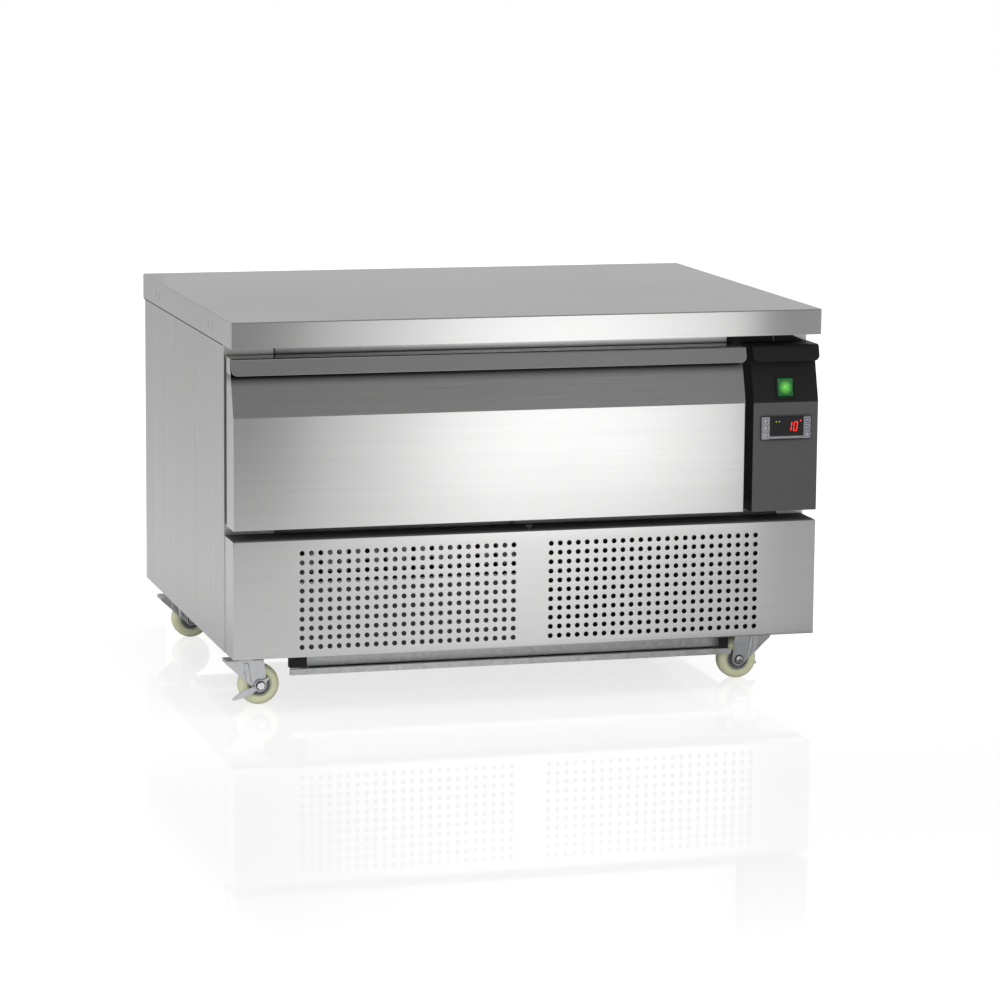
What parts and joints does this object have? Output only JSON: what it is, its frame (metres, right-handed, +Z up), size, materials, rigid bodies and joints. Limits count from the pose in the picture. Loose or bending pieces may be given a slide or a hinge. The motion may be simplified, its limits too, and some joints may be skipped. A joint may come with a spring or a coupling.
{
  "type": "freezer chef base",
  "caption": "Low freezer cabinet on castors with one wide insulated drawer, a slanted grip lip, a control box at the right, a perforated base panel and a heavy steel worktop.",
  "frame": {"origin": "on the floor under the centre of the worktop", "axes": "+X to the right as seen from the front, +Y to the back, +Z up"},
  "size_m": [0.89, 0.68, 0.57],
  "materials": {
    "stainless": "satin",
    "handle_steel": "satin",
    "galvanised": "satin",
    "board": "matte",
    "foam": "matte",
    "liner_steel": "satin",
    "white_plastic": "satin",
    "gasket_rubber": "matte",
    "slide_zinc": "satin",
    "control_black": "satin",
    "fascia_grey": "matte",
    "key_silver": "satin",
    "window_dark": "gloss",
    "switch_black": "satin",
    "rocker_green": "gloss",
    "screw_zinc": "satin",
    "thumb_dark": "matte",
    "compressor_black": "satin",
    "fins": "satin",
    "condenser_grey": "matte",
    "motor_grey": "satin",
    "fan_plastic": "satin",
    "copper": "satin",
    "gland_black": "satin",
    "castor_zinc": "satin",
    "nylon_cream": "satin",
    "pan_grey": "matte"
  },
  "bodies": {
    "cabinet": {"worktop": "stainless", "worktop_board": "board", "left_side_panel": "stainless", "right_side_panel": "stainless", "back_panel": "galvanised", "rear_grille": "galvanised", "base_frame": "galvanised", "front_frame": "stainless", "insulation": "foam", "inner_liner": "liner_steel", "air_baffle": "fins", "evaporator_coil": "fins", "evaporator_fan_motor": "motor_grey", "slide_outer_members": "slide_zinc", "control_housing": "control_black", "control_fascia": "fascia_grey", "controller_case": "key_silver", "display_window": "window_dark", "switch_bezel": "switch_black", "control_screws": "screw_zinc", "base_grille": "stainless", "base_surround": "stainless", "thumbscrew": "thumb_dark", "compressor": "compressor_black", "condenser_coil": "condenser_grey", "condenser_shroud": "galvanised", "condenser_fan_motor": "motor_grey", "refrigerant_pipes": "copper", "machine_tray": "galvanised", "evaporation_pan": "pan_grey", "cable_gland": "gland_black", "castor_plates": "castor_zinc"},
    "drawer": {"drawer_box": "liner_steel", "drawer_handle_cap": "handle_steel", "drawer_face_panel": "stainless", "drawer_insulation": "foam", "drawer_inner_panel": "white_plastic", "drawer_gasket": "gasket_rubber", "slide_inner_members": "slide_zinc"},
    "slide_mid_left": {"slide_mid_left": "slide_zinc"},
    "slide_mid_right": {"slide_mid_right": "slide_zinc"},
    "switch_rocker": {"switch_rocker": "rocker_green"},
    "evaporator_fan": {"evaporator_fan_blade": "fan_plastic"},
    "condenser_fan": {"condenser_fan_blade": "fan_plastic"},
    "key_1": {"key_1": "key_silver"},
    "key_2": {"key_2": "key_silver"},
    "key_3": {"key_3": "key_silver"},
    "key_4": {"key_4": "key_silver"},
    "key_5": {"key_5": "key_silver"},
    "key_6": {"key_6": "key_silver"},
    "castor_front_left": {"fork_front_left": "castor_zinc"},
    "wheel_front_left": {"wheel_front_left": "nylon_cream"},
    "castor_front_right": {"fork_front_right": "castor_zinc"},
    "wheel_front_right": {"wheel_front_right": "nylon_cream"},
    "castor_rear_left": {"fork_rear_left": "castor_zinc"},
    "wheel_rear_left": {"wheel_rear_left": "nylon_cream"},
    "castor_rear_right": {"fork_rear_right": "castor_zinc"},
    "wheel_rear_right": {"wheel_rear_right": "nylon_cream"},
    "pedal_left": {"pedal_left": "castor_zinc"},
    "pedal_right": {"pedal_right": "castor_zinc"}
  },
  "joints": [
    {"name": "drawer_slide", "type": "slide", "parent": "cabinet", "child": "drawer", "axis": [0, -1, 0], "range_m": [0, 0.5]},
    {"name": "slide_left", "type": "slide", "parent": "cabinet", "child": "slide_mid_left", "axis": [0, -1, 0], "range_m": [0, 0.25]},
    {"name": "slide_right", "type": "slide", "parent": "cabinet", "child": "slide_mid_right", "axis": [0, -1, 0], "range_m": [0, 0.25]},
    {"name": "mains_switch", "type": "hinge", "parent": "cabinet", "child": "switch_rocker", "pos_m": [0.3925, -0.32573, 0.45242], "axis": [1, 0, 0], "range_deg": [-14, 0]},
    {"name": "evaporator_fan_spin", "type": "hinge", "parent": "cabinet", "child": "evaporator_fan", "pos_m": [0.3356, -0.188, 0.392], "axis": [0, 1, 0], "continuous": true},
    {"name": "condenser_fan_spin", "type": "hinge", "parent": "cabinet", "child": "condenser_fan", "pos_m": [-0.1638, -0.1873, 0.1145], "axis": [0, 1, 0], "continuous": true},
    {"name": "key_1_press", "type": "slide", "parent": "cabinet", "child": "key_1", "axis": [0, 1, 0], "range_m": [0, 0.0006], "stiffness_N_per_m": 500},
    {"name": "key_2_press", "type": "slide", "parent": "cabinet", "child": "key_2", "axis": [0, 1, 0], "range_m": [0, 0.0006], "stiffness_N_per_m": 500},
    {"name": "key_3_press", "type": "slide", "parent": "cabinet", "child": "key_3", "axis": [0, 1, 0], "range_m": [0, 0.0006], "stiffness_N_per_m": 500},
    {"name": "key_4_press", "type": "slide", "parent": "cabinet", "child": "key_4", "axis": [0, 1, 0], "range_m": [0, 0.0006], "stiffness_N_per_m": 500},
    {"name": "key_5_press", "type": "slide", "parent": "cabinet", "child": "key_5", "axis": [0, 1, 0], "range_m": [0, 0.0006], "stiffness_N_per_m": 500},
    {"name": "key_6_press", "type": "slide", "parent": "cabinet", "child": "key_6", "axis": [0, 1, 0], "range_m": [0, 0.0006], "stiffness_N_per_m": 500},
    {"name": "swivel_front_left", "type": "hinge", "parent": "cabinet", "child": "castor_front_left", "pos_m": [-0.409, -0.259, 0], "axis": [0, 0, 1], "continuous": true},
    {"name": "roll_front_left", "type": "hinge", "parent": "castor_front_left", "child": "wheel_front_left", "pos_m": [-0.389, -0.259, 0.03], "axis": [0, 1, 0], "continuous": true},
    {"name": "swivel_front_right", "type": "hinge", "parent": "cabinet", "child": "castor_front_right", "pos_m": [0.373, -0.245, 0], "axis": [0, 0, 1], "continuous": true},
    {"name": "roll_front_right", "type": "hinge", "parent": "castor_front_right", "child": "wheel_front_right", "pos_m": [0.353, -0.245, 0.03], "axis": [0, 1, 0], "continuous": true},
    {"name": "swivel_rear_left", "type": "hinge", "parent": "cabinet", "child": "castor_rear_left", "pos_m": [-0.409, 0.25, 0], "axis": [0, 0, 1], "continuous": true},
    {"name": "roll_rear_left", "type": "hinge", "parent": "castor_rear_left", "child": "wheel_rear_left", "pos_m": [-0.389, 0.25, 0.03], "axis": [0, 1, 0], "continuous": true},
    {"name": "swivel_rear_right", "type": "hinge", "parent": "cabinet", "child": "castor_rear_right", "pos_m": [0.373, 0.25, 0], "axis": [0, 0, 1], "continuous": true},
    {"name": "roll_rear_right", "type": "hinge", "parent": "castor_rear_right", "child": "wheel_rear_right", "pos_m": [0.353, 0.25, 0.03], "axis": [0, 1, 0], "continuous": true},
    {"name": "brake_front_left", "type": "hinge", "parent": "castor_front_left", "child": "pedal_left", "pos_m": [-0.389, -0.259, 0.03], "axis": [0, -1, 0], "range_deg": [0, 8]},
    {"name": "brake_front_right", "type": "hinge", "parent": "castor_front_right", "child": "pedal_right", "pos_m": [0.353, -0.245, 0.03], "axis": [0, 1, 0], "range_deg": [0, 8]}
  ],
  "couplings": [
    {"joint": "slide_left", "follows": "drawer_slide", "ratio": 0.5},
    {"joint": "slide_right", "follows": "drawer_slide", "ratio": 0.5}
  ]
}
